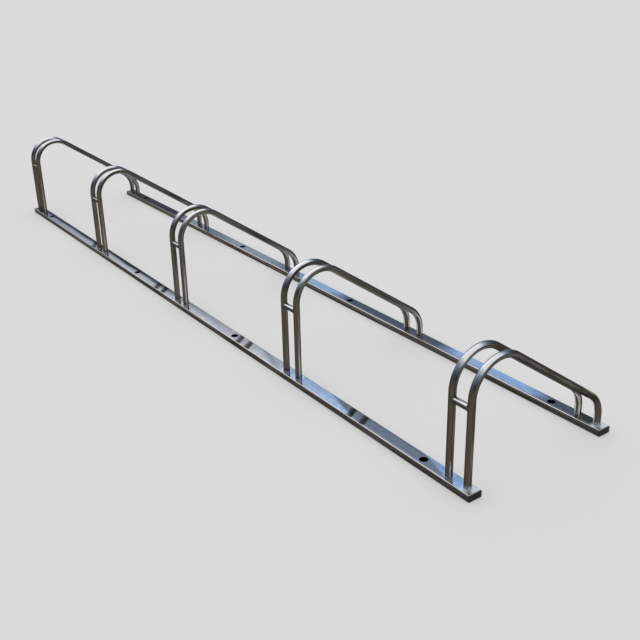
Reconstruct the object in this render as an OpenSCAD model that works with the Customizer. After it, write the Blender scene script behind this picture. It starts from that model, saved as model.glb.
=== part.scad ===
// Bicycle rack with five places, of bent round tube on two flat floor rails.
// Each place is a pair of hoops: high upright legs on the front rail, a large bend,
// a top tube that slopes down to the rear, a second bend and a short rear leg.
// The origin lies on the floor in the middle of the rack. X runs along the rails,
// the front rail lies on the -Y side and Z points up. Place 1 is at the -X end.

/* [Places] */
// Distance between the middles of neighbouring places
place_pitch = 720; // [350:5:900]
// Clear width of the wheel slot, between the two hoops of a place
slot_w = 45; // [30:1:70]
// Distance between the centre lines of the two rails
rail_spacing = 485; // [400:5:600]
// Distance from the outermost hoop to the end of the rack
end_margin = 17.5; // [10:0.5:80]

/* [Hoops] */
// Height of a hoop above the floor, at the top of its front bend
hoop_h = 360; // [320:5:450]
// Length of the straight rear leg, from the rail up to the rear bend
rear_leg_l = 28; // [10:1:80]
// Outer diameter of the hoop tube
tube_d = 20; // [19:0.5:30]
// Wall of the hoop tube
tube_wall = 1.5; // [1:0.1:3]
// Radius of the front bend, on the tube's centre line
front_bend_r = 92; // [60:1:120]
// Radius of the rear bend, on the tube's centre line
rear_bend_r = 90; // [50:1:120]
// How much bending draws in the wall, on its outer and on its inner face
bend_draw = 0.02; // [0.01:0.01:0.1]

/* [Crossbars] */
// Outer diameter of the crossbar
bar_d = 18; // [10:0.5:18]
// Wall of the crossbar
bar_wall = 1.5; // [1:0.1:3]
// Distance from the start of the front bend down to the crossbar's axis
bar_drop = 20; // [0:1:100]

/* [Rails] */
// Width of a rail
rail_w = 44; // [36:1:80]
// Height of a rail
rail_h = 20; // [14:1:40]
// Wall of a rail
rail_wall = 2; // [1.2:0.1:2.6]
// Outer corner radius of a rail's section
rail_corner_r = 3.2; // [2.4:0.1:6]

/* [Anchor holes] */
// Distance from the middle of an end place inwards to its anchor
anchor_inset = 125; // [60:5:250]
// Distance from the middle of the rack to each inner anchor
anchor_offset = 375; // [80:5:500]
// Diameter of the bolt hole in the rail's floor wall
bolt_hole_d = 12; // [6:0.5:14]
// Diameter of the access hole above it, which lets the bolt's head through
access_hole_d = 22; // [15:0.5:28]

/* [End plugs] */
// Thickness of the plug's head in its middle
plug_head_t = 4; // [2:0.5:10]
// Height of the crown on the plug's head
plug_crown = 0.8; // [0.2:0.1:1.5]
// Length of the plug's insert inside the rail
plug_insert_l = 18; // [8:1:40]
// Wall of the plug's hollow insert
plug_wall = 1.6; // [0.8:0.1:2.5]
// Thickness of one gripping rib
plug_rib_t = 1.2; // [0.6:0.1:2]
// Height of the gripping ribs over the insert
plug_rib_h = 1.2; // [0.4:0.1:2]
// Clearance between the ribs and the inside of the rail
plug_clearance = 0.1; // [0.05:0.05:0.4]

/* [Welds] */
// Size of the weld round the foot of each leg
foot_weld = 3; // [1:0.5:5]
// Length along the crossbar of the weld at its ends
bar_weld_l = 2.5; // [1:0.5:5]
// Height over the crossbar of the weld at its ends
bar_weld_h = 0.8; // [0.3:0.1:1]

/* [Hidden] */
$fn = 96;

// Which side of the rack or of a place a piece is on
left = -1;
right = 1;
front = -1;
rear = 1;

// Number of places, and the place in the middle of the rack
places = 5;
middle_place = (places + 1) / 2;

// Overrun of the cutting bodies
overrun = 1;

// How far a straight pipe reaches into the bend that it joins
pipe_lap = 0.4;

// Number of gripping ribs on a plug, of segments in a full circle of the crown's large
// arcs, and of steps in the face of a foot weld
plug_ribs = 3;
crown_segments = 480;
foot_weld_steps = 6;
// How far the face of a foot weld bulges: the centre of its arc lies this share of
// the weld's size beyond the corner
foot_weld_bulge_share = 0.6;

// Length of the rack over the end plugs, and of a rail between their heads
rack_l = (places - 1) * place_pitch + slot_w + 2 * tube_d + 2 * end_margin;
rail_l = rack_l - 2 * plug_head_t;

// Centre line of a hoop, seen from the side: y runs back from the front leg, z up.
// The top tube is the common tangent of the two bends' circles.
bend_outer_d = tube_d - 2 * bend_draw;
bend_inner_d = tube_d - 2 * tube_wall + 2 * bend_draw;
front_bend_y = front_bend_r;
front_bend_z = hoop_h - bend_outer_d / 2 - front_bend_r;
rear_bend_y = rail_spacing - rear_bend_r;
rear_bend_z = rail_h + rear_leg_l;
bends_dy = rear_bend_y - front_bend_y;
bends_dz = front_bend_z - rear_bend_z;
bends_distance = norm([bends_dy, bends_dz]);
bends_r_step = front_bend_r - rear_bend_r;
top_tube_slope = atan2(bends_dz, bends_dy) + asin(bends_r_step / bends_distance);
top_tube_l = sqrt(pow(bends_distance, 2) - pow(bends_r_step, 2));
front_leg_l = front_bend_z - rail_h;

// Height of the crossbars' axes
bar_z = front_bend_z - bar_drop;

// Places along X: a place's middle, its hoops, and the four anchors of a rail
function place_x(place) = (place - middle_place) * place_pitch;
function hoop_x(place, side) = place_x(place) + side * (slot_w + tube_d) / 2;
anchor_xs = [
    for (side = [left, right], x = [anchor_offset, place_x(places) - anchor_inset])
        side * x
];

function rail_y(row) = row * rail_spacing / 2;

// Corner radius of an outline that lies inside the rail's outer one by some distance
function inner_corner_r(inset) = max(rail_corner_r - inset, rail_corner_r - rail_wall);

// Radius of a shallow arc over a chord, with a given rise
function arc_r(chord, rise) = (pow(chord / 2, 2) + pow(rise, 2)) / (2 * rise);

module rounded_rect(w, h, r) {
    square([w - 2 * r, h], center = true);
    square([w, h - 2 * r], center = true);
    for (sx = [-1, 1], sy = [-1, 1])
        translate([sx * (w / 2 - r), sy * (h / 2 - r)]) circle(r);
}

// Outline of the rail's section, drawn in by an inset on every side
module rail_outline(inset) {
    rounded_rect(rail_w - 2 * inset, rail_h - 2 * inset, inner_corner_r(inset));
}

// Straight pipe along X from the origin. An end that joins a bend goes on into it, and
// tapers from both faces of the wall until it lies inside the bend's wall.
module straight_pipe(l, joins_at_start) {
    outer_r = tube_d / 2;
    inner_r = outer_r - tube_wall;
    taper = 2 * bend_draw;
    start = [[inner_r + taper, -pipe_lap], [outer_r - taper, -pipe_lap]];
    straight = [[outer_r, 0], [outer_r, l]];
    end = [[outer_r - taper, l + pipe_lap], [inner_r + taper, l + pipe_lap]];
    bore = [[inner_r, l], [inner_r, 0]];
    rotate([0, 90, 0])
        rotate_extrude()
            polygon(concat(joins_at_start ? start : [], straight, end, bore));
}

// Bent pipe round the origin, starting on the X axis
module bent_pipe(r, turn) {
    rotate_extrude(angle = turn)
        translate([r, 0])
            difference() {
                circle(d = bend_outer_d);
                circle(d = bend_inner_d);
            }
}

// A hoop lies in the YZ plane and stands with both feet on the rails
module hoop(place, side) {
    color("slategray")
        translate([hoop_x(place, side), rail_y(front), 0])
            rotate([90, 0, 90]) {
                translate([0, rail_h])
                    rotate(90) straight_pipe(front_leg_l, joins_at_start = false);
                translate([front_bend_y, front_bend_z])
                    rotate(90 - top_tube_slope)
                        bent_pipe(front_bend_r, 90 + top_tube_slope);
                translate([front_bend_y, front_bend_z])
                    rotate(-top_tube_slope)
                        translate([0, front_bend_r])
                            straight_pipe(top_tube_l, joins_at_start = true);
                translate([rear_bend_y, rear_bend_z])
                    bent_pipe(rear_bend_r, 90 - top_tube_slope);
                translate([rail_spacing, rail_h])
                    rotate(90) straight_pipe(rear_leg_l, joins_at_start = false);
            }
}

// The round space of a front leg, which the crossbar's ends are cut to
module leg_space(place, side, d) {
    translate([hoop_x(place, side), rail_y(front), 0]) cylinder(h = hoop_h, d = d);
}

// A round bar between the axes of two front legs, at the crossbar's height
module bar_space(place, d) {
    translate([place_x(place), rail_y(front), bar_z])
        rotate([0, 90, 0]) cylinder(h = slot_w + tube_d, d = d, center = true);
}

module crossbar(place) {
    color("silver")
        difference() {
            bar_space(place, bar_d);
            bar_space(place, bar_d - 2 * bar_wall);
            for (side = [left, right]) leg_space(place, side, tube_d);
        }
}

// A weld follows the saddle line where the crossbar's end meets the leg
module crossbar_weld(place, side) {
    difference() {
        intersection() {
            bar_space(place, bar_d + 2 * bar_weld_h);
            leg_space(place, side, tube_d + 2 * bar_weld_l);
        }
        bar_space(place, bar_d);
        leg_space(place, side, tube_d);
    }
}

module crossbar_welds() {
    color("gray")
        for (place = [1:places], side = [left, right]) crossbar_weld(place, side);
}

// Section of the weld in the corner between a leg and the rail, with a bulging face
module foot_weld_section() {
    arc_centre = [tube_d, 0] / 2 - foot_weld * foot_weld_bulge_share * [1, 1];
    arc_radius = foot_weld * norm([1 + foot_weld_bulge_share, foot_weld_bulge_share]);
    start = asin(foot_weld_bulge_share * foot_weld / arc_radius);
    polygon(concat(
        [[tube_d / 2, 0]],
        [for (i = [0:foot_weld_steps])
            let (a = start + (90 - 2 * start) * i / foot_weld_steps)
                arc_centre + arc_radius * [cos(a), sin(a)]]
    ));
}

module foot_welds(row) {
    color("gray")
        for (place = [1:places], side = [left, right])
            translate([hoop_x(place, side), rail_y(row), rail_h])
                rotate_extrude() foot_weld_section();
}

// Flat hollow section with a bolt hole in its floor and an access hole above each
module rail(row) {
    color("lightsteelblue")
        translate([0, rail_y(row), 0])
            difference() {
                translate([-rail_l / 2, 0, rail_h / 2])
                    rotate([90, 0, 90]) linear_extrude(rail_l)
                        difference() {
                            rail_outline(0);
                            rail_outline(rail_wall);
                        }
                for (x = anchor_xs) {
                    translate([x, 0, -overrun])
                        cylinder(h = rail_wall + 2 * overrun, d = bolt_hole_d);
                    translate([x, 0, rail_h - rail_wall - overrun])
                        cylinder(h = rail_wall + 2 * overrun, d = access_hole_d);
                }
            }
}

// A shallow crown across a face of some length
module crown_cylinder(l, r) {
    cylinder(h = l + 2 * overrun, r = r, center = true, $fn = crown_segments);
}

// Head with a shallow crown both ways, and edges that lie flush with the rail
module plug_head() {
    edge_t = plug_head_t - plug_crown;
    height_arc_r = arc_r(rail_h, plug_crown);
    width_arc_r = arc_r(rail_w, plug_crown);
    intersection() {
        rotate([90, 0, 90]) linear_extrude(plug_head_t) rail_outline(0);
        translate([plug_head_t - height_arc_r, 0, 0])
            rotate([90, 0, 0])
                crown_cylinder(rail_w, height_arc_r);
        translate([plug_head_t - width_arc_r, 0, 0])
            crown_cylinder(rail_h, width_arc_r);
    }
}

// Hollow insert, open at its inner end, with ribs that grip the inside of the rail
module plug_insert() {
    rib_inset = rail_wall + plug_clearance;
    core_inset = rib_inset + plug_rib_h;
    rib_step = plug_insert_l / (plug_ribs + 1);
    rotate([90, 0, -90]) difference() {
        union() {
            linear_extrude(plug_insert_l) rail_outline(core_inset);
            for (i = [1:plug_ribs])
                translate([0, 0, i * rib_step - plug_rib_t / 2])
                    linear_extrude(plug_rib_t) rail_outline(rib_inset);
        }
        linear_extrude(plug_insert_l + overrun) rail_outline(core_inset + plug_wall);
    }
}

module rail_plug(row, side) {
    color("dimgray")
        translate([0, rail_y(row), rail_h / 2])
            mirror([side == left ? 1 : 0, 0, 0])
                translate([rail_l / 2, 0, 0]) {
                    plug_head();
                    plug_insert();
                }
}

rail(front);  // front_rail
rail(rear);  // rear_rail
rail_plug(front, left);  // front_rail_plug_left
rail_plug(front, right);  // front_rail_plug_right
rail_plug(rear, left);  // rear_rail_plug_left
rail_plug(rear, right);  // rear_rail_plug_right
hoop(1, left);  // hoop_1_left
hoop(1, right);  // hoop_1_right
hoop(2, left);  // hoop_2_left
hoop(2, right);  // hoop_2_right
hoop(3, left);  // hoop_3_left
hoop(3, right);  // hoop_3_right
hoop(4, left);  // hoop_4_left
hoop(4, right);  // hoop_4_right
hoop(5, left);  // hoop_5_left
hoop(5, right);  // hoop_5_right
crossbar(1);  // crossbar_1
crossbar(2);  // crossbar_2
crossbar(3);  // crossbar_3
crossbar(4);  // crossbar_4
crossbar(5);  // crossbar_5
foot_welds(front);  // front_leg_welds
foot_welds(rear);  // rear_leg_welds
crossbar_welds();
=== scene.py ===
"""Bicycle rack with five places, in polished stainless steel, on a pale studio floor."""
import math

import bmesh
import bpy
from mathutils import Matrix, Vector


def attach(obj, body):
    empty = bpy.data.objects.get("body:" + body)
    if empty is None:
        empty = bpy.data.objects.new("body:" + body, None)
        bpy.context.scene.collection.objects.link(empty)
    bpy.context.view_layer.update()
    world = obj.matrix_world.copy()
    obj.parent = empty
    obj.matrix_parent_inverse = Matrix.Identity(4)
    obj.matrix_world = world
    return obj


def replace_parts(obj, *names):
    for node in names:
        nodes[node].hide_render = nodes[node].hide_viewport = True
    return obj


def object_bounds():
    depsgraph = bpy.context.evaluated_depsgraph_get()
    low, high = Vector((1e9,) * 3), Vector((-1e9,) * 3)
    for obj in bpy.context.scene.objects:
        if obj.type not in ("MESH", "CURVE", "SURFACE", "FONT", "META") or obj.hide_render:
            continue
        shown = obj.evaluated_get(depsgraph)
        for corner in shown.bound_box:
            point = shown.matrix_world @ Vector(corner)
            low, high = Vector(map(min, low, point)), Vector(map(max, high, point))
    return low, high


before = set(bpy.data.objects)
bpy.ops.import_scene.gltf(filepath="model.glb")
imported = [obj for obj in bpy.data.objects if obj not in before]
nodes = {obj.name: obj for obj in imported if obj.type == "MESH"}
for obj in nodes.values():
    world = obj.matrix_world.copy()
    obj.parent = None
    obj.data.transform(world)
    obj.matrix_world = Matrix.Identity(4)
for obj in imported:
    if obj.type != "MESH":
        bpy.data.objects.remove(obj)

cad_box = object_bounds()

# Places and sizes of the rack, in metres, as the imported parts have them
PLACES = 5
PLACE_PITCH = 0.72
SLOT_W = 0.045
TUBE_R = 0.010
BAR_R = 0.009
RAIL_SPACING = 0.485
RAIL_W = 0.044
RAIL_H = 0.020
BAR_Z = 0.23802
ANCHOR_XS = (0.375, 1.315)
ACCESS_R = 0.011
RACK_L = cad_box[1].x - cad_box[0].x
FRONT_Y = -RAIL_SPACING / 2
REAR_Y = RAIL_SPACING / 2
LEG_OFF = SLOT_W / 2 + TUBE_R
LAST_PLACE_X = (PLACES - 1) / 2 * PLACE_PITCH

# Camera: where it stands, the point of the floor that it looks at, its roll and lens
CAMERA_PLACE = Vector((2.7373, -1.5608, 1.2802))
CAMERA_AIM = Vector((0.3148, 0.1981, 0.0))
CAMERA_ROLL = math.radians(-0.95)
CAMERA_LENS = 50
CAMERA_SHIFT = (-0.0163, -0.0260)

# Studio: the grey of floor and backdrop, what lights the object, and the soft lamp
BACKDROP_GREY = (0.708, 0.708, 0.708)
SKY_LIGHT = 0.89
LAMP_STRENGTH = 0.45
LAMP_ANGLE = math.radians(60)
LAMP_FROM = Vector((-0.61, 0.09, 0.79))
FLOOR_R = 60.0
FLOOR_DROP = 0.0002
FLOOR_GLOW = 0.5


def linear(red, green, blue):
    """Linear colour of a screen colour given in 0 to 255."""
    channels = []
    for value in (red, green, blue):
        c = value / 255
        channels.append(c / 12.92 if c <= 0.04045 else ((c + 0.055) / 1.055) ** 2.4)
    return tuple(channels)


def steel(red, green, blue):
    """Base colour of a metal that shows this screen colour where it mirrors the backdrop."""
    return tuple(min(c / BACKDROP_GREY[0], 1.0) for c in linear(red, green, blue)) + (1.0,)


# The colour sockets of a Mix node
MIX_A = 6
MIX_B = 7
MIX_RESULT = 2

# The range in which a noise mostly stays
NOISE_RANGE = (0.3, 0.7)


class Look:
    """A material whose nodes are added one by one and joined as they are made."""

    def __init__(self, name):
        self.material = bpy.data.materials.new(name)
        self.material.use_nodes = True
        self.tree = self.material.node_tree
        self.shader = self.tree.nodes["Principled BSDF"]
        self.place = self.node("ShaderNodeTexCoord").outputs["Object"]
        self.normal = self.node("ShaderNodeTexCoord").outputs["Normal"]
        self.x, self.y, self.z = self.split(self.place)
        self.nx, self.ny, self.nz = self.split(self.normal)

    def node(self, kind, **settings):
        made = self.tree.nodes.new(kind)
        for key, value in settings.items():
            setattr(made, key, value)
        return made

    def put(self, socket, value):
        """Joins a socket to another one, or sets its value."""
        if isinstance(value, bpy.types.NodeSocket):
            self.tree.links.new(value, socket)
        else:
            socket.default_value = value

    def shade(self, **values):
        """Sets inputs of the surface shader, named with _ for each space."""
        for key, value in values.items():
            self.put(self.shader.inputs[key.replace("_", " ")], value)

    def split(self, vector):
        made = self.node("ShaderNodeSeparateXYZ")
        self.put(made.inputs[0], vector)
        return made.outputs

    def join(self, x, y, z):
        made = self.node("ShaderNodeCombineXYZ")
        for socket, value in zip(made.inputs, (x, y, z)):
            self.put(socket, value)
        return made.outputs[0]

    def stretch(self, parts, shares):
        """A vector of three values, each times its own share."""
        return self.join(*[self.times(part, share) for part, share in zip(parts, shares)])

    def math(self, operation, a, b=0.0):
        made = self.node("ShaderNodeMath", operation=operation)
        self.put(made.inputs[0], a)
        self.put(made.inputs[1], b)
        return made.outputs[0]

    def add(self, a, b):
        return self.math("ADD", a, b)

    def times(self, a, b):
        return self.math("MULTIPLY", a, b)

    def rise(self, value, start, end):
        """0 before start, 1 past end, and smooth between them."""
        made = self.node("ShaderNodeMapRange", interpolation_type="SMOOTHSTEP")
        self.put(made.inputs["Value"], value)
        self.put(made.inputs["From Min"], start)
        self.put(made.inputs["From Max"], end)
        return made.outputs["Result"]

    def without(self, share):
        """What a share leaves of 1."""
        return self.math("SUBTRACT", 1.0, share)

    def band(self, value, middle, reach):
        """1 at the middle, and 0 beyond reach on both sides."""
        away = self.math("ABSOLUTE", self.math("SUBTRACT", value, middle))
        return self.rise(away, reach, 0.0)

    def scale(self, value, low, high, to_low, to_high):
        """Maps low to high onto to_low to to_high, in a straight line."""
        made = self.node("ShaderNodeMapRange")
        for key, number in (("Value", value), ("From Min", low), ("From Max", high),
                            ("To Min", to_low), ("To Max", to_high)):
            self.put(made.inputs[key], number)
        return made.outputs["Result"]

    def between(self, share, at_none, at_full):
        """at_none where the share is 0, at_full where it is 1."""
        return self.scale(share, 0, 1, at_none, at_full)

    def vary(self, noise, low, high):
        """Spreads a noise, which mostly stays in its middle range, from low to high."""
        return self.scale(noise, *NOISE_RANGE, low, high)

    def distance(self, a, b):
        """Length of a flat offset a, b."""
        return self.math("SQRT", self.add(self.times(a, a), self.times(b, b)))

    def mix(self, share, a, b, blend="MIX"):
        made = self.node("ShaderNodeMix", data_type="RGBA", blend_type=blend)
        self.put(made.inputs["Factor"], share)
        self.put(made.inputs[MIX_A], a)
        self.put(made.inputs[MIX_B], b)
        return made.outputs[MIX_RESULT]

    def dim(self, colour, share):
        """The colour at a share of its strength."""
        return self.mix(1.0, colour, self.join(share, share, share), "MULTIPLY")

    def ramp(self, value, stops):
        """Colours by value; stops are (value, colour) pairs from 0 to 1."""
        made = self.node("ShaderNodeValToRGB")
        elements = made.color_ramp.elements
        while len(elements) < len(stops):
            elements.new(0.5)
        for element, (position, colour) in zip(elements, stops):
            element.position = position
            element.color = colour
        self.put(made.inputs[0], value)
        return made.outputs["Color"]

    def noise(self, vector, scale, detail=2.0, roughness=0.5):
        """A noise that is repeated scale times for each unit of the vector."""
        made = self.node("ShaderNodeTexNoise")
        self.put(made.inputs["Vector"], vector)
        self.put(made.inputs["Scale"], scale)
        self.put(made.inputs["Detail"], detail)
        self.put(made.inputs["Roughness"], roughness)
        return made.outputs["Fac"]

    def bump(self, height, strength, distance):
        made = self.node("ShaderNodeBump")
        self.put(made.inputs["Height"], height)
        self.put(made.inputs["Strength"], strength)
        self.put(made.inputs["Distance"], distance)
        self.put(self.shader.inputs["Normal"], made.outputs["Normal"])


# Tones of the painted reflections on the polished steel, from a bright sky down to bare ground
GLARE = steel(240, 240, 243)
CLOUD = steel(204, 209, 219)
HAZE = steel(168, 173, 183)
FOG = steel(150, 157, 170)
BLUE = steel(136, 166, 206)
AIR = steel(146, 168, 200)
MIST = steel(130, 140, 156)
SLATE = steel(104, 115, 132)
DUSK = steel(76, 84, 97)
SHADE = steel(54, 58, 62)
INK = steel(40, 44, 52)
COAL = steel(26, 28, 34)
CHALK = steel(172, 170, 164)
PEARL = steel(222, 220, 214)
SILVER = steel(186, 190, 202)
FROST = steel(232, 237, 248)
PEWTER = steel(60, 60, 58)
NIGHT = steel(34, 44, 68)
STONE = steel(98, 94, 88)
EARTH = steel(72, 67, 60)
SOIL = steel(52, 47, 41)

# Painted reflection by the tilt of a surface round the X axis, in degrees: 0 faces the front, 90
# up, 180 the rear
TUBE_TILTS = [
    (-180, EARTH),
    (-66, SOIL),
    (-20, EARTH),
    (12, EARTH),
    (25, INK),
    (33, DUSK),
    (40, SLATE),
    (46, HAZE),
    (53, GLARE),
    (80, GLARE),
    (87, CLOUD),
    (93, MIST),
    (100, DUSK),
    (109, SHADE),
    (128, SHADE),
    (150, EARTH),
    (180, EARTH),
]
# The same at the rim of a tube, on the side away from the near end
RIM_TILTS = [
    (-180, EARTH),
    (12, EARTH),
    (26, DUSK),
    (38, MIST),
    (52, CLOUD),
    (64, HAZE),
    (84, MIST),
    (92, SLATE),
    (102, MIST),
    (118, MIST),
    (128, SLATE),
    (140, MIST),
    (160, SLATE),
    (180, EARTH),
]
# Painted reflection on the crossbars from the front: dark underside, broad painted highlight band,
# dark upper edge
BAR_TILTS = [
    (-180, EARTH),
    (-8, EARTH),
    (12, SHADE),
    (24, DUSK),
    (30, DUSK),
    (36, HAZE),
    (42, FROST),
    (74, FROST),
    (81, HAZE),
    (88, SLATE),
    (104, DUSK),
    (128, SLATE),
    (150, EARTH),
    (180, EARTH),
]


def tilt_ramp(look, tilt, tilts):
    """Tones by tilt, from a list of (degrees, tone)."""
    stops = [((degrees + 180) / 360, tone) for degrees, tone in tilts]
    return look.ramp(look.scale(tilt, -180, 180, 0, 1), stops)


def tilt_of(look):
    """Tilt of the surface round the X axis, in degrees."""
    turn = look.math("ARCTAN2", look.nz, look.times(look.ny, -1.0))
    return look.times(turn, 180 / math.pi)


def off_place(look):
    """How far along X a point is from the middle of its place."""
    from_start = look.math("FLOORED_MODULO", look.add(look.x, PLACE_PITCH / 2), PLACE_PITCH)
    return look.math("SUBTRACT", from_start, PLACE_PITCH / 2)


# Places on a hoop where its looks change, in metres; a pair is where a change starts and ends
NEAR_PLACE_XS = (0.80, 1.38)
LAST_TWO_XS = (0.40, 0.60)
LAST_TUBE_XS = (1.42, 1.445)
SIDE_BLEND = 0.02
FRONT_LEG_YS = (FRONT_Y + 0.12, FRONT_Y + 0.03)
PAST_TOP_YS = (-0.15, -0.05)
SLOPE_START_YS = (-0.16, -0.08)
SLOPE_END_YS = (0.19, 0.16)
UNDERSIDE_YS = (-0.12, -0.05)
REAR_HALF_YS = (0.0, 0.1)
REAR_STREAK_YS = (0.15, 0.19)
REAR_OUTSIDE_YS = (0.17, 0.20)
BRIGHT_SIDE_YS = (0.19, 0.215)
BRIGHT_SIDE_LEAD = 0.014
PALE_EDGE_Y = 0.200
PALE_EDGE_REACH = 0.055
LEG_STREAK_FULL_Z = 0.045
BEND_STREAK_ZS = (0.084, 0.132)
BEND_STREAK_LOW_ZS = (0.092, 0.070)
BEND_STREAK_DIP_Z = 0.062
BEND_STREAK_DIP_REACH = 0.022
BRIGHT_SIDE_ZS = (0.074, 0.12)
FOOT_ZS = (RAIL_H + 0.014, RAIL_H + 0.003)
LAST_FOOT_ZS = (RAIL_H + 0.015, RAIL_H + 0.004)
# Headings on a hoop, in degrees: 0 faces the near end of the rack, 90 the rear, -90 the front
LAST_FOOT_HEADING = -35
LAST_FOOT_REACH = 60
UNDER_BEND_HEADING = -62
UNDER_BEND_REACH = 22
REAR_OUTSIDE_HEADING = 50
REAR_OUTSIDE_REACH = 42
BRIGHT_SIDE_SOFT = -10.0
BRIGHT_SIDE_END = (-178, -160)
BRIGHT_SIDE_LAST = -8.0
BEND_STREAK_TURN = -50
# Pairs of a value at the far places and one at the near place
LEG_STREAK_HEADINGS = (-12, -28)
LEG_STREAK_REACHES = (26, 16)
LEG_STREAK_TOP_ZS = (0.20, 0.078)
BEND_STREAK_HEADINGS = (2, -30)
BEND_STREAK_REACHES = (30, 34)
BRIGHT_SIDE_HEADINGS = (-79, -92)
# How far the bright side turns with the bend, before the last tube and on it
BRIGHT_SIDE_TURNS = (40, 62)
# Finish of the tubes: places under the painted highlights and reflection streaks mirror less
TUBE_ROUGHNESS = (0.07, 0.17)
TUBE_TINT = (0.45, 0.45, 0.46, 1)
TUBE_HIGHLIGHT_METALLIC = 0.35
# Height of the fine bumps of every material
BUMP_HEIGHT = 0.0002


class Tube:
    """Where a point of a tube lies: shares from 0 to 1, metres off its place's middle, heading."""

    def __init__(self, look):
        self.far_end = look.scale(look.x, LAST_PLACE_X, -LAST_PLACE_X, 0, 1)
        self.near_place = look.scale(look.x, *NEAR_PLACE_XS, 0, 1)
        self.further = look.without(self.near_place)
        self.last_tube = look.rise(look.x, *LAST_TUBE_XS)
        self.off_middle = off_place(look)
        self.heading = look.times(look.math("ARCTAN2", look.ny, look.nx), 180 / math.pi)


def sky_on_tube(look, tube, tilt, tilts, rim_tilts):
    """Painted sky reflection by tilt; the painted highlight band is wider far away; the rim has its
    own tones.
    """
    widened = look.times(look.rise(tilt, 60, 88), look.between(tube.far_end, 3.0, -12.0))
    sky = tilt_ramp(look, look.add(tilt, widened), tilts)
    rim_start = look.between(tube.far_end, 0.38, 0.60)
    rim_start = look.add(rim_start, look.times(tube.near_place, 0.12))
    rim = look.rise(look.nx, rim_start, look.between(tube.far_end, -0.15, 0.0))
    rim_tone = tilt_ramp(look, tilt, rim_tilts)
    return look.mix(rim, sky, look.dim(rim_tone, look.between(tube.near_place, 1.0, 0.75)))


def add_ground_reflection(look, tube, seen, fine):
    """Painted ground reflection on the near-end side; far tubes have a darker painted reflection
    past their tops.
    """
    off_centre = look.math("POWER", look.between(tube.far_end, 1, -1), 2.0)
    edge = look.add(look.times(off_centre, 0.10), look.between(tube.far_end, 0.79, 0.85))
    edge = look.add(edge, look.scale(tube.off_middle, -SIDE_BLEND, SIDE_BLEND, 0.06, 0.0))
    near_side = look.rise(look.nx, look.add(edge, -0.10), look.add(edge, 0.05))
    ground = look.mix(look.rise(fine, 0.32, 0.68), SOIL, STONE)
    upright = look.rise(look.y, *FRONT_LEG_YS)
    ground = look.dim(ground, look.between(look.times(upright, tube.far_end), 0.92, 1.12))
    seen = look.mix(near_side, seen, ground)
    shaded = look.times(look.rise(look.y, *PAST_TOP_YS), look.times(tube.far_end, 0.45))
    return look.mix(shaded, seen, SHADE)


def leg_reflection_streak(look, tube):
    """1 on the pale painted reflection streak low on each front leg; the left legs have less of it
    far away.
    """
    heading = look.between(tube.near_place, *LEG_STREAK_HEADINGS)
    off_streak = look.math("SUBTRACT", tube.heading, heading)
    on_leg = look.band(off_streak, 0.0, look.between(tube.near_place, *LEG_STREAK_REACHES))
    top = look.between(tube.near_place, *LEG_STREAK_TOP_ZS)
    on_leg = look.times(on_leg, look.rise(look.z, top, LEG_STREAK_FULL_Z))
    is_left = look.rise(tube.off_middle, SIDE_BLEND, -SIDE_BLEND)
    missing = look.times(is_left, look.between(tube.near_place, 0.7, 0.0))
    return look.times(on_leg, look.without(missing))


def bend_reflection_streak(look, tube):
    """1 on the pale painted reflection streaks of the rear bends and legs."""
    heading = look.add(look.between(tube.near_place, *BEND_STREAK_HEADINGS),
                       look.scale(look.z, *BEND_STREAK_ZS, 0, BEND_STREAK_TURN))
    off_streak = look.math("SUBTRACT", tube.heading, heading)
    on_bend = look.band(off_streak, 0, look.between(tube.near_place, *BEND_STREAK_REACHES))
    low_down = look.times(look.rise(look.z, *BEND_STREAK_LOW_ZS), tube.near_place)
    on_bend = look.times(on_bend, look.without(look.times(low_down, 0.30)))
    dip = look.band(look.z, BEND_STREAK_DIP_Z, BEND_STREAK_DIP_REACH)
    on_bend = look.times(on_bend, look.without(look.times(dip, 0.35)))
    on_bend = look.times(on_bend, look.rise(look.nz, -0.80, -0.45))
    under_bend = look.times(look.band(tube.heading, UNDER_BEND_HEADING, UNDER_BEND_REACH),
                            look.band(look.nz, -0.60, 0.25))
    under_bend = look.times(under_bend, tube.further)
    under_bend = look.times(under_bend, look.scale(tube.far_end, 0.25, 0.5, 0.85, 0.45))
    return look.times(look.math("MAXIMUM", on_bend, under_bend), look.rise(look.y, *REAR_STREAK_YS))


def add_reflection_streaks(look, tube, seen, on_leg):
    """The pale painted reflection streaks, on every tube but the last one; they fade towards the
    far end.
    """
    streak = look.math("MAXIMUM", on_leg, bend_reflection_streak(look, tube))
    streak = look.times(streak, look.without(tube.last_tube))
    streak = look.times(streak, look.between(tube.far_end, 1.0, 0.5))
    brighter = look.times(tube.near_place, look.rise(look.y, *REAR_HALF_YS))
    return look.mix(streak, seen, look.mix(brighter, CHALK, PEARL))


def bright_side(look, tube):
    """1 on the painted highlight on the sides of the last rear bends and legs that face forward."""
    start = look.add(look.between(tube.near_place, *BRIGHT_SIDE_HEADINGS),
                     look.times(tube.last_tube, BRIGHT_SIDE_LAST))
    turn = look.between(tube.last_tube, *BRIGHT_SIDE_TURNS)
    up_bend = look.scale(look.z, *BRIGHT_SIDE_ZS, 0, turn)
    start = look.add(start, look.times(up_bend, tube.near_place))
    on_side = look.times(look.rise(tube.heading, start, look.add(start, BRIGHT_SIDE_SOFT)),
                         look.rise(tube.heading, *BRIGHT_SIDE_END))
    on_side = look.times(on_side, look.rise(look.nz, -0.98, -0.85))
    on_two = look.times(look.rise(look.x, *LAST_TWO_XS), 0.75)
    on_two = look.math("MAXIMUM", on_two, tube.near_place)
    led = look.add(look.y, look.times(tube.last_tube, BRIGHT_SIDE_LEAD))
    on_rear = look.rise(led, *BRIGHT_SIDE_YS)
    return look.times(on_side, look.times(on_rear, on_two))


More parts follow.
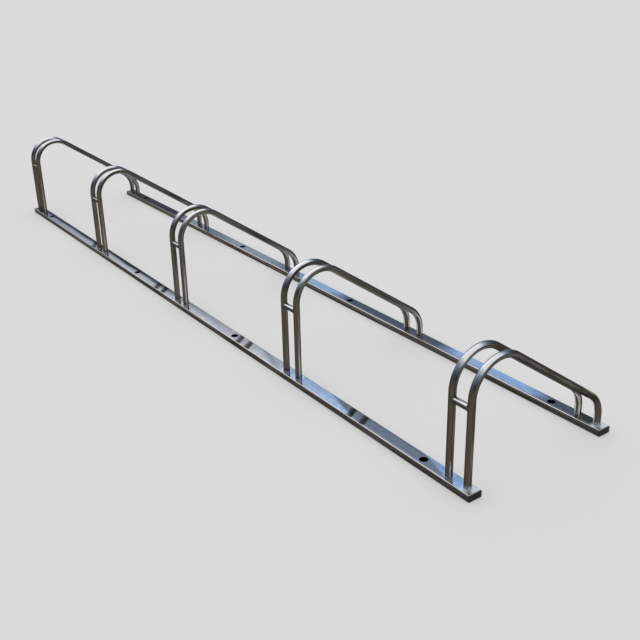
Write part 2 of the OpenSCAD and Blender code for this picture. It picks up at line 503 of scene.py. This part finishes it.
def edge_highlight(look, tube, tilt):
    """1 on the painted highlight on the last tube's outer edge where it starts to bend down to the
    rear rail.
    """
    on_edge = look.band(look.y, PALE_EDGE_Y, PALE_EDGE_REACH)
    on_edge = look.times(on_edge, look.rise(look.nx, 0.94, 0.66))
    return look.times(on_edge, look.times(look.rise(tilt, 100, 118), tube.last_tube))


def darken_far_tubes(look, tube, seen):
    """Before the near end, the tops of the slopes and the outer rear sides get a dark painted
    reflection.
    """
    on_slope = look.times(look.rise(look.y, *SLOPE_START_YS), look.rise(look.y, *SLOPE_END_YS))
    on_slope = look.times(on_slope, look.rise(look.nz, 0.2, 0.7))
    on_slope = look.times(on_slope, look.scale(tube.far_end, 0.75, 1.0, 0.55, 0.25))
    seen = look.mix(look.times(on_slope, tube.further), seen, NIGHT)
    outside = look.band(tube.heading, REAR_OUTSIDE_HEADING, REAR_OUTSIDE_REACH)
    outside = look.times(outside, look.rise(look.y, *REAR_OUTSIDE_YS))
    return look.mix(look.times(outside, look.times(tube.further, 0.65)), seen, SOIL)


def add_feet(look, tube, seen, grain):
    """Low on the legs, a painted reflection of the rails: dark, but pale at the near end."""
    foot = look.times(look.rise(look.z, *FOOT_ZS), look.rise(grain, 0.40, 0.62))
    seen = look.mix(look.times(foot, 0.65), seen, look.mix(tube.near_place, INK, HAZE))
    last_foot = look.times(look.rise(look.z, *LAST_FOOT_ZS), tube.last_tube)
    last_foot = look.times(last_foot, look.band(tube.heading, LAST_FOOT_HEADING, LAST_FOOT_REACH))
    return look.mix(look.times(last_foot, 0.75), seen, HAZE)


def add_undersides(look, tube, seen):
    """Before the near end, the undersides carry a painted reflection of the pale floor."""
    under = look.times(look.rise(look.nz, -0.45, -0.80), tube.further)
    under = look.times(under, look.scale(look.y, *UNDERSIDE_YS, 0.8, 0.35))
    return look.mix(under, seen, CHALK)


# Painted reflection on the sides that face away from the near end, by how far they face away
AWAY_TONES = [
    (0.58, EARTH),
    (0.68, CLOUD),
    (0.78, MIST),
    (0.86, DUSK),
    (0.94, CLOUD),
    (1.00, HAZE),
]
AWAY_DIRECTION = (-0.75, 0.60, 0.25)


def add_far_side(look, seen, streaks):
    """The side that faces away from the near end carries a painted sky reflection in two bands."""
    away = look.vary(streaks, -0.02, 0.02)
    for part, share in zip((look.nx, look.ny, look.nz), AWAY_DIRECTION):
        away = look.add(away, look.times(part, share))
    return look.mix(look.rise(away, 0.56, 0.64), seen, look.ramp(away, AWAY_TONES))


def polished_steel(name, streak_place, tilts, rim_tilts, unevenness):
    """Steel with a painted reflection of dark ground below, a bright sky above and blue between."""
    look = Look(name)
    tube = Tube(look)
    streaks = look.noise(streak_place(look), 1.0, 3.0, 0.6)
    fine = look.noise(streak_place(look), 2.6, 2.0)
    grain = look.noise(streak_place(look), 7.0, 3.0, 0.7)
    tilt = look.add(tilt_of(look), look.vary(streaks, -unevenness, unevenness))
    tilt = look.add(tilt, look.vary(grain, -unevenness, unevenness))

    seen = sky_on_tube(look, tube, tilt, tilts, rim_tilts)
    seen = add_ground_reflection(look, tube, seen, fine)
    on_leg = leg_reflection_streak(look, tube)
    seen = add_reflection_streaks(look, tube, seen, on_leg)
    on_side = bright_side(look, tube)
    seen = look.mix(on_side, seen, GLARE)
    seen = look.mix(look.times(edge_highlight(look, tube, tilt), 0.8), seen, CHALK)
    seen = darken_far_tubes(look, tube, seen)
    seen = add_feet(look, tube, seen, grain)
    seen = add_undersides(look, tube, seen)
    seen = add_far_side(look, seen, streaks)
    seen = look.dim(seen, look.vary(streaks, 0.84, 1.18))

    # Under the painted highlights and the painted leg reflection streaks the steel mirrors less
    under_highlights = look.times(on_side, tube.near_place)
    under_highlights = look.times(under_highlights, look.between(tube.last_tube, 0.4, 1.0))
    under_highlights = look.math("MAXIMUM", on_leg, under_highlights)
    look.shade(Base_Color=seen, Metallic=look.between(under_highlights, 1.0, TUBE_HIGHLIGHT_METALLIC))
    look.shade(Specular_Tint=TUBE_TINT)
    look.shade(Roughness=look.vary(look.noise(look.place, 38.0, 4.0, 0.6), *TUBE_ROUGHNESS))
    look.bump(look.noise(streak_place(look), 9.0, 2.0), 0.03, BUMP_HEIGHT)
    return look.material


def leg_streaks(look):
    """Streaks that run up the legs and along the bends, one set for each hoop."""
    across = look.times(look.nx, 5.0)
    return look.join(look.add(across, look.times(look.x, 40.0)), look.times(look.y, 3.0),
                     look.times(look.z, 3.0))


def bar_streaks(look):
    """Streaks that run along a crossbar."""
    return look.stretch((look.x, look.ny, look.nz), (12.0, 5.0, 5.0))


# Painted reflections on the top faces of the two rails, from the far end to the near end
FRONT_TOP = [
    (-1.48, DUSK),
    (-1.38, MIST),
    (-1.05, FOG),
    (-0.70, HAZE),
    (0.46, HAZE),
    (0.56, HAZE),
    (0.61, MIST),
    (0.66, HAZE),
    (0.72, AIR),
    (0.950, AIR),
    (0.985, SLATE),
    (1.345, SLATE),
    (1.39, BLUE),
    (1.50, BLUE),
]
REAR_TOP = [
    (-1.48, DUSK),
    (-1.38, INK),
    (-1.32, COAL),
    (-1.26, INK),
    (-1.00, INK),
    (-0.82, MIST),
    (-0.66, SLATE),
    (-0.56, SLATE),
    (-0.44, MIST),
    (-0.18, MIST),
    (-0.05, SLATE),
    (0.12, BLUE),
    (0.28, BLUE),
    (0.38, DUSK),
    (0.84, DUSK),
    (0.92, BLUE),
    (1.22, BLUE),
    (1.295, DUSK),
    (1.39, DUSK),
    (1.42, SHADE),
    (1.50, SHADE),
]


def rail_streaks(look):
    """Streaks that run along a rail."""
    return look.stretch((look.x, look.y, look.z), (4.0, 160.0, 160.0))


# On the rails, in metres; a pair is where a change starts and ends
BRUSHED_RS = (0.020, 0.012)
FOOT_REFLECTION_STARTS = (0.004, 0.009)
FOOT_REFLECTION_ENDS = (0.036, 0.028)
FOOT_REFLECTION_W = 0.013
HOLE_SHADE_RS = (ACCESS_R + 0.0024, ACCESS_R + 0.0008)
FRONT_EDGE_XS = (-1.0, 0.3)
REAR_EDGE_XS = (-0.35, 0.40)
FAR_CORNER_XS = (-0.95, -0.80)
DARK_SIDE_XS = (1.38, 1.47)
DARK_SIDE_ZS = (0.004, 0.013)
INSIDE_ZS = (RAIL_H / 2 - 0.0010, RAIL_H / 2 - 0.0015)
# Which way along X and Y the painted leg reflections run
FOOT_REFLECTION_DIRECTION = (0.81, -0.59)
# Parts of a rail by how much of the normal points up, or to the front or rear
FLAT_TOP_NZS = (0.965, 0.995)
UPRIGHT_NYS = (0.60, 0.78)
# Finish of the rails: the polish, and how much rougher brushed feet and the inside are
RAIL_ROUGHNESS = (0.03, 0.09)
RAIL_BRUSHED_ROUGHER = 0.22
RAIL_INSIDE_ROUGHER = 0.50
RAIL_TINT = (0.5, 0.5, 0.52, 1)
RAIL_DULL_METALLIC = 0.3


def from_leg(look, middle_y):
    """How far a point is from the leg nearest to it, along X and along Y."""
    off_middle = off_place(look)
    leg = look.times(look.math("SIGN", off_middle), LEG_OFF)
    return look.math("SUBTRACT", off_middle, leg), look.math("SUBTRACT", look.y, middle_y)


def brushed_at_feet(look, middle_y):
    """1 round the foot of each leg, where the weld has been brushed clean."""
    return look.rise(look.distance(*from_leg(look, middle_y)), *BRUSHED_RS)


def foot_reflection_strip(look, middle_y):
    """1 on a strip with a painted reflection of each leg, from its foot to the front edge of the
    rail.
    """
    off_x, off_y = from_leg(look, middle_y)
    to_x, to_y = FOOT_REFLECTION_DIRECTION
    along = look.add(look.times(off_x, to_x), look.times(off_y, to_y))
    aside = look.add(look.times(off_x, -to_y), look.times(off_y, to_x))
    on_strip = look.times(look.rise(along, *FOOT_REFLECTION_STARTS), look.rise(along, *FOOT_REFLECTION_ENDS))
    return look.times(on_strip, look.band(aside, 0.0, FOOT_REFLECTION_W))


def hole_shade_ring(look, middle_y):
    """1 on a painted dark ring of shade round each access hole."""
    from_middle = look.math("ABSOLUTE", look.x)
    offs = [look.math("ABSOLUTE", look.math("SUBTRACT", from_middle, x)) for x in ANCHOR_XS]
    from_hole = look.math("MINIMUM", *offs)
    off_line = look.math("SUBTRACT", look.y, middle_y)
    return look.rise(look.distance(from_hole, off_line), *HOLE_SHADE_RS)


def rail_top(look, across, top_stops, slant, front_edge, rear_edge):
    """The painted sky reflection on the top of a rail, and the painted tones of its front and rear
    edges.
    """
    half = RACK_L / 2
    wave_place = look.join(look.times(look.x, 5.0), look.times(across, 0.6), 0.0)
    wave = look.noise(wave_place, 1.0, 2.0)
    slanted = look.add(look.x, look.times(across, slant))
    slanted = look.add(slanted, look.vary(wave, -0.03, 0.03))
    stops = [((x + half) / RACK_L, tone) for x, tone in top_stops]
    top = look.ramp(look.scale(slanted, -half, half, 0, 1), stops)

    tone, far_share, near_share = front_edge
    on_front = look.times(look.rise(across, -0.35, -0.95),
                          look.scale(look.x, *FRONT_EDGE_XS, far_share, near_share))
    top = look.mix(on_front, top, tone)
    tone, far_share, near_share = rear_edge
    on_rear = look.rise(look.add(across, look.vary(wave, -0.2, 0.2)), -0.4, 0.6)
    on_rear = look.times(on_rear, look.scale(look.x, *REAR_EDGE_XS, far_share, near_share))
    return look.mix(on_rear, top, tone)


def rail_sides(look, streaks, far_end, far_corner):
    """Painted reflections on the upright sides of a rail and its round corners, darker towards the
    bottom.
    """
    sides = tilt_ramp(look, tilt_of(look), TUBE_TILTS)
    sides = look.dim(sides, look.between(far_end, 0.62, 0.8))
    sides = look.dim(sides, look.scale(look.x, *FAR_CORNER_XS, far_corner, 1.0))
    ground = look.mix(look.rise(streaks, *NOISE_RANGE), SOIL, STONE)
    ground = look.dim(ground, look.between(far_end, 0.76, 1.42))
    ground = look.mix(look.scale(look.x, *DARK_SIDE_XS, 0.0, 0.75), ground, PEWTER)
    ground = look.dim(ground, look.scale(look.z, *DARK_SIDE_ZS, 0.68, 1.0))
    upright = look.rise(look.math("ABSOLUTE", look.ny), *UPRIGHT_NYS)
    return look.mix(upright, sides, ground)


def inside_rail(look, across):
    """1 on the walls inside the hollow section."""
    from_middle = look.math("ABSOLUTE", look.math("SUBTRACT", look.z, RAIL_H / 2))
    from_line = look.math("ABSOLUTE", across)
    return look.times(look.rise(from_middle, *INSIDE_ZS), look.rise(from_line, 0.96, 0.94))


def rail_steel(name, middle_y, top_stops, slant, front_edge, rear_edge, end_xs, far_corner):
    """
    Flat polished section: the top carries a painted sky reflection, the sides a painted
    reflection of the ground. An edge of the top is (tone, share at the far end, share at the
    near end). The top's pale painted reflection at the near end starts and is full at the two
    end_xs. At the far end the round corners have far_corner of their strength.
    """
    look = Look(name)
    far_end = look.scale(look.x, RACK_L / 2, -RACK_L / 2, 0, 1)
    across = look.math("DIVIDE", look.math("SUBTRACT", look.y, middle_y), RAIL_W / 2)
    streaks = look.noise(rail_streaks(look), 1.0, 3.0, 0.6)
    patch_place = look.join(look.times(look.x, 60.0), look.times(across, 1.5), 0.0)
    patches = look.noise(patch_place, 1.0, 3.0, 0.6)
    at_end = look.rise(look.x, *end_xs)
    foot_reflection = foot_reflection_strip(look, middle_y)

    top = rail_top(look, across, top_stops, slant, front_edge, rear_edge)
    # A pale painted reflection on the top at the near end
    top = look.mix(at_end, top, SILVER)
    top = look.dim(top, look.vary(patches, 0.86, 1.14))
    top = look.dim(top, look.vary(streaks, 0.90, 1.10))
    top = look.dim(top, look.between(far_end, 1.05, 1.50))
    # A painted dark ring of shade round each access hole
    top = look.mix(look.times(hole_shade_ring(look, middle_y), 0.85), top, COAL)
    # A painted reflection of each leg on the rail's top, by its foot
    top = look.mix(look.times(foot_reflection, 0.80), top, EARTH)

    is_top = look.rise(look.nz, *FLAT_TOP_NZS)
    seen = look.mix(is_top, rail_sides(look, streaks, far_end, far_corner), top)
    # Inside the hollow section: painted shade in the base colour, and a rougher finish
    inside = inside_rail(look, across)
    seen = look.mix(inside, seen, SOIL)
    # The pale painted reflection at the near end and the painted leg reflections mirror less
    dull = look.times(look.math("MAXIMUM", at_end, foot_reflection), is_top)
    look.shade(Base_Color=seen, Metallic=look.between(dull, 1.0, RAIL_DULL_METALLIC))
    look.shade(Specular_Tint=RAIL_TINT)

    rough = look.vary(look.noise(look.place, 30.0, 4.0, 0.6), *RAIL_ROUGHNESS)
    rough = look.add(rough, look.times(brushed_at_feet(look, middle_y), RAIL_BRUSHED_ROUGHER))
    look.shade(Roughness=look.add(rough, look.times(inside, RAIL_INSIDE_ROUGHER)))
    look.bump(look.noise(rail_streaks(look), 3.0, 2.0), 0.02, BUMP_HEIGHT)
    return look.material


# Where along X and Z, in metres, the beads at the near end carry a pale painted reflection, and the
# beads' finish
PALE_BEAD_XS = (1.455, 1.470)
PALE_BEAD_ZS = (0.06, 0.05)
PALE_BEAD_METALLIC = 0.5
BEAD_ROUGHNESS = (0.22, 0.42)
BEAD_TINT = (0.4, 0.4, 0.4, 1)


def weld_steel():
    """Beads tinted by heat, with a painted reflection that is lighter on their upward faces and
    pale on the rails' near ends.
    """
    look = Look("weld_bead_steel")
    tint = look.noise(look.place, 160.0, 3.0, 0.6)
    aside = look.ramp(tint, [(0.30, SOIL), (0.5, EARTH), (0.72, STONE)])
    above = look.ramp(tint, [(0.30, SOIL), (0.5, STONE), (0.72, SLATE)])
    # Painted reflection: lighter on the upward faces
    seen = look.mix(look.rise(look.nz, 0.15, 0.75), aside, above)
    near_end = look.times(look.rise(look.x, *PALE_BEAD_XS), look.rise(look.z, *PALE_BEAD_ZS))
    # A pale painted reflection on the beads at the near end
    seen = look.mix(look.times(near_end, 0.7), seen, SILVER)
    look.shade(Base_Color=seen, Metallic=look.between(near_end, 1.0, PALE_BEAD_METALLIC))
    look.shade(Specular_Tint=BEAD_TINT)
    look.shade(Roughness=look.vary(look.noise(look.place, 420.0, 3.0), *BEAD_ROUGHNESS))
    look.bump(look.noise(look.place, 900.0, 2.0), 0.15, BUMP_HEIGHT)
    return look.material


# Finish of the end plugs
PLUG_BLACK = linear(12, 13, 14) + (1,)
PLUG_DUSTY = linear(36, 36, 34) + (1,)
PLUG_TOP_REFLECTION = linear(150, 152, 160) + (1,)
PLUG_TOP_NZS = (0.5, 0.9)
PLUG_ROUGHNESS = (0.42, 0.62)
PLUG_SPECULAR = 0.22


def plug_plastic():
    """Black plastic with a fine grain and a little dust, and a pale painted reflection on its
    upward faces.
    """
    look = Look("plug_black_plastic")
    grain = look.noise(look.place, 1400.0, 3.0, 0.6)
    dust = look.noise(look.place, 90.0, 5.0, 0.65)
    colour = look.mix(look.rise(dust, 0.45, 0.75), PLUG_BLACK, PLUG_DUSTY)
    # A pale painted reflection on the upward faces
    colour = look.mix(look.times(look.rise(look.nz, *PLUG_TOP_NZS), 0.85), colour, PLUG_TOP_REFLECTION)
    look.shade(Base_Color=colour, Roughness=look.vary(grain, *PLUG_ROUGHNESS))
    look.shade(Specular_IOR_Level=PLUG_SPECULAR)
    look.bump(grain, 0.25, BUMP_HEIGHT)
    return look.material


def set_material(part, material):
    """Puts a finish in the part's own slot."""
    part.data.materials.clear()
    part.data.materials.append(material)


def add_mesh(name, build, material):
    """A smooth mesh piece that build() fills, riding on the rack."""
    mesh = bpy.data.meshes.new(name)
    work = bmesh.new()
    build(work)
    bmesh.ops.recalc_face_normals(work, faces=work.faces)
    work.to_mesh(mesh)
    work.free()
    mesh.polygons.foreach_set("use_smooth", [True] * len(mesh.polygons))
    piece = bpy.data.objects.new(name, mesh)
    bpy.context.scene.collection.objects.link(piece)
    mesh.materials.append(material)
    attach(piece, "root")
    return piece


def place_x(place):
    """The middle of a place along X; place 1 is at the far end."""
    return (place - (PLACES + 1) / 2) * PLACE_PITCH


def leg_x(place, side):
    """The middle of a leg along X; side is -1 for a place's left tube and 1 for its right one."""
    return place_x(place) + side * LEG_OFF


# Weld beads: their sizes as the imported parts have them, and how they look once ground down
FOOT_WELD = 0.003
FOOT_GROUND_SHARE = 0.42
FOOT_HOLLOW_SHARE = 0.36
BAR_WELD_L = 0.0025
BAR_WELD_H = 0.0008
RIPPLE_PITCH = 0.0019
RIPPLE_DEPTH_SHARE = 0.10
RIPPLE_BEND = 0.9
RIPPLE_STEPS = 6
FACE_STEPS = 6
TUCK = 0.0005


def ripple(along, across):
    """Size of the bead at a point: scales that overlap, bent back at the bead's edges."""
    phase = along / RIPPLE_PITCH - RIPPLE_BEND * (1 - (2 * across - 1) ** 2)
    return 1 - RIPPLE_DEPTH_SHARE * (phase % 1.0)


def ring_mesh(work, rings):
    """Closes rings of points, each a closed section, into a ring-shaped solid."""
    loops = [[work.verts.new(p) for p in ring] for ring in rings]
    for this, following in zip(loops, loops[1:] + loops[:1]):
        for i in range(len(this)):
            j = (i + 1) % len(this)
            work.faces.new((this[i], this[j], following[j], following[i]))


def bead_turns(line_r):
    """Angle round a bead's ring and length along it, for each section of the ring."""
    ripples = round(2 * math.pi * line_r / RIPPLE_PITCH)
    steps = ripples * RIPPLE_STEPS
    return [(2 * math.pi * i / steps, ripples * RIPPLE_PITCH * i / steps) for i in range(steps)]


def foot_bead(work, x, y):
    """Bead round the foot of a leg: a hollow fillet between the leg and the rail's top."""
    rings = []
    for angle, along in bead_turns(TUBE_R + FOOT_WELD / 2):
        ring = []
        for k in range(FACE_STEPS + 1):
            t = k / FACE_STEPS
            turn = t * math.pi / 2
            size = FOOT_WELD * FOOT_GROUND_SHARE * ripple(along, t)
            size *= 1 - FOOT_HOLLOW_SHARE * math.sin(2 * turn)
            ring.append((TUBE_R + size * math.cos(turn), size * math.sin(turn)))
        ring[0] = (ring[0][0], -TUCK)
        section = [(TUBE_R - TUCK, -TUCK)] + ring + [(TUBE_R - TUCK, ring[-1][1])]
        rings.append([(x + r * math.cos(angle), y + r * math.sin(angle), RAIL_H + z)
                      for r, z in section])
    ring_mesh(work, rings)


def bar_bead(work, place, side):
    """Bead on the saddle line where a crossbar's end meets the leg."""
    rings = []
    for angle, along in bead_turns(BAR_R):
        section = []
        for k in range(FACE_STEPS + 1):
            t = k / FACE_STEPS
            lift = BAR_WELD_H * math.sin(t * math.pi / 2) * ripple(along, t)
            section.append((TUBE_R + BAR_WELD_L * math.cos(t * math.pi / 2), BAR_R + lift))
        section.append((TUBE_R - TUCK, BAR_R - TUCK))
        section.append((TUBE_R + BAR_WELD_L, BAR_R - TUCK))
        points = []
        for reach, radius in section:
            away = math.sqrt(max(reach ** 2 - (radius * math.cos(angle)) ** 2, 0.0))
            points.append((leg_x(place, side) - side * away,
                           FRONT_Y + radius * math.cos(angle),
                           BAR_Z + radius * math.sin(angle)))
        rings.append(points)
    ring_mesh(work, rings)


def make_welds():
    """Rippled beads in place of the three plain weld nodes."""
    steel_look = weld_steel()
    legs = [(place, side) for place in range(1, PLACES + 1) for side in (-1, 1)]
    for name, y in (("front_leg_welds", FRONT_Y), ("rear_leg_welds", REAR_Y)):
        def build_feet(work, y=y):
            for place, side in legs:
                foot_bead(work, leg_x(place, side), y)
        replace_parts(add_mesh(name + "_rippled", build_feet, steel_look), name)

    def build_bars(work):
        for place, side in legs:
            bar_bead(work, place, side)
    beads = add_mesh("crossbar_welds_rippled", build_bars, steel_look)
    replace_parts(beads, "crossbar_welds")


def dress_parts():
    """Gives each kind of piece its finish."""
    hoop_look = polished_steel("hoop_polished_steel", leg_streaks, TUBE_TILTS, RIM_TILTS,
                               unevenness=3.2)
    bar_look = polished_steel("crossbar_polished_steel", bar_streaks, BAR_TILTS, BAR_TILTS,
                              unevenness=1.0)
    plug_look = plug_plastic()
    for name, part in nodes.items():
        if name.startswith("hoop_"):
            set_material(part, hoop_look)
        elif name.startswith("crossbar_") and name != "crossbar_welds":
            set_material(part, bar_look)
        elif "_plug_" in name:
            set_material(part, plug_look)
    front_look = rail_steel("front_rail_steel", FRONT_Y, FRONT_TOP, slant=0.09,
                            front_edge=(CLOUD, 0.0, 0.15), rear_edge=(INK, 1.0, 0.15),
                            end_xs=(1.456, 1.480), far_corner=1.0)
    rear_look = rail_steel("rear_rail_steel", REAR_Y, REAR_TOP, slant=0.01,
                           front_edge=(MIST, 0.0, 0.55), rear_edge=(SHADE, 0.0, 0.0),
                           end_xs=(1.456, 1.476), far_corner=0.5)
    set_material(nodes["front_rail"], front_look)
    set_material(nodes["rear_rail"], rear_look)


def add_camera():
    """The camera of the photo."""
    data = bpy.data.cameras.new("camera")
    data.lens = CAMERA_LENS
    data.shift_x, data.shift_y = CAMERA_SHIFT
    camera = bpy.data.objects.new("camera", data)
    bpy.context.scene.collection.objects.link(camera)
    turn = (CAMERA_AIM - CAMERA_PLACE).to_track_quat("-Z", "Y").to_matrix().to_4x4()
    roll = Matrix.Rotation(CAMERA_ROLL, 4, "Z")
    camera.matrix_world = Matrix.Translation(CAMERA_PLACE) @ turn @ roll
    bpy.context.scene.camera = camera


def add_lamp():
    """A broad soft light from above, which gives the floor its faint shadow."""
    data = bpy.data.lights.new("lamp", "SUN")
    data.energy = LAMP_STRENGTH
    data.angle = LAMP_ANGLE
    lamp = bpy.data.objects.new("lamp", data)
    bpy.context.scene.collection.objects.link(lamp)
    lamp.matrix_world = LAMP_FROM.to_track_quat("Z", "Y").to_matrix().to_4x4()


def seen_or_mirrored(tree):
    """1 for what the camera sees, straight or in a mirror or through glass."""
    path = tree.nodes.new("ShaderNodeLightPath")
    share = path.outputs["Is Camera Ray"]
    for kind in ("Is Glossy Ray", "Is Transmission Ray"):
        either = tree.nodes.new("ShaderNodeMath")
        either.operation = "MAXIMUM"
        tree.links.new(share, either.inputs[0])
        tree.links.new(path.outputs[kind], either.inputs[1])
        share = either.outputs[0]
    return share


def add_world():
    """The world looks like the backdrop to the camera and to mirrors, and lights the rest."""
    world = bpy.data.worlds.new("studio")
    world.use_nodes = True
    bpy.context.scene.world = world
    tree = world.node_tree
    colour = tree.nodes.new("ShaderNodeMix")
    colour.data_type = "RGBA"
    tree.links.new(seen_or_mirrored(tree), colour.inputs["Factor"])
    colour.inputs[MIX_A].default_value = (SKY_LIGHT, SKY_LIGHT, SKY_LIGHT, 1)
    colour.inputs[MIX_B].default_value = BACKDROP_GREY + (1,)
    tree.links.new(colour.outputs[MIX_RESULT], tree.nodes["Background"].inputs["Color"])


def floor_material():
    """Pale and dull; half of it glows in the same grey, so that the shadow stays soft."""
    look = bpy.data.materials.new("floor")
    look.use_nodes = True
    tree = look.node_tree
    shader = tree.nodes["Principled BSDF"]
    shader.inputs["Base Color"].default_value = BACKDROP_GREY + (1,)
    shader.inputs["Roughness"].default_value = 1.0
    shader.inputs["Specular IOR Level"].default_value = 0.0
    glow = tree.nodes.new("ShaderNodeEmission")
    glow.inputs["Color"].default_value = BACKDROP_GREY + (1,)
    share = tree.nodes.new("ShaderNodeMath")
    share.operation = "MULTIPLY"
    tree.links.new(seen_or_mirrored(tree), share.inputs[0])
    share.inputs[1].default_value = FLOOR_GLOW
    mixed = tree.nodes.new("ShaderNodeMixShader")
    tree.links.new(share.outputs[0], mixed.inputs["Fac"])
    tree.links.new(shader.outputs[0], mixed.inputs[1])
    tree.links.new(glow.outputs[0], mixed.inputs[2])
    tree.links.new(mixed.outputs[0], tree.nodes["Material Output"].inputs["Surface"])
    return look


def add_floor():
    """A round floor just under the rails, wide enough to have no edge in view."""
    mesh = bpy.data.meshes.new("floor")
    work = bmesh.new()
    bmesh.ops.create_circle(work, cap_ends=True, radius=FLOOR_R, segments=96)
    work.to_mesh(mesh)
    work.free()
    floor = bpy.data.objects.new("floor", mesh)
    floor.location.z = -FLOOR_DROP
    bpy.context.scene.collection.objects.link(floor)
    mesh.materials.append(floor_material())


dress_parts()
make_welds()
add_camera()
add_lamp()
add_world()
add_floor()
bpy.context.scene.view_settings.view_transform = "Standard"
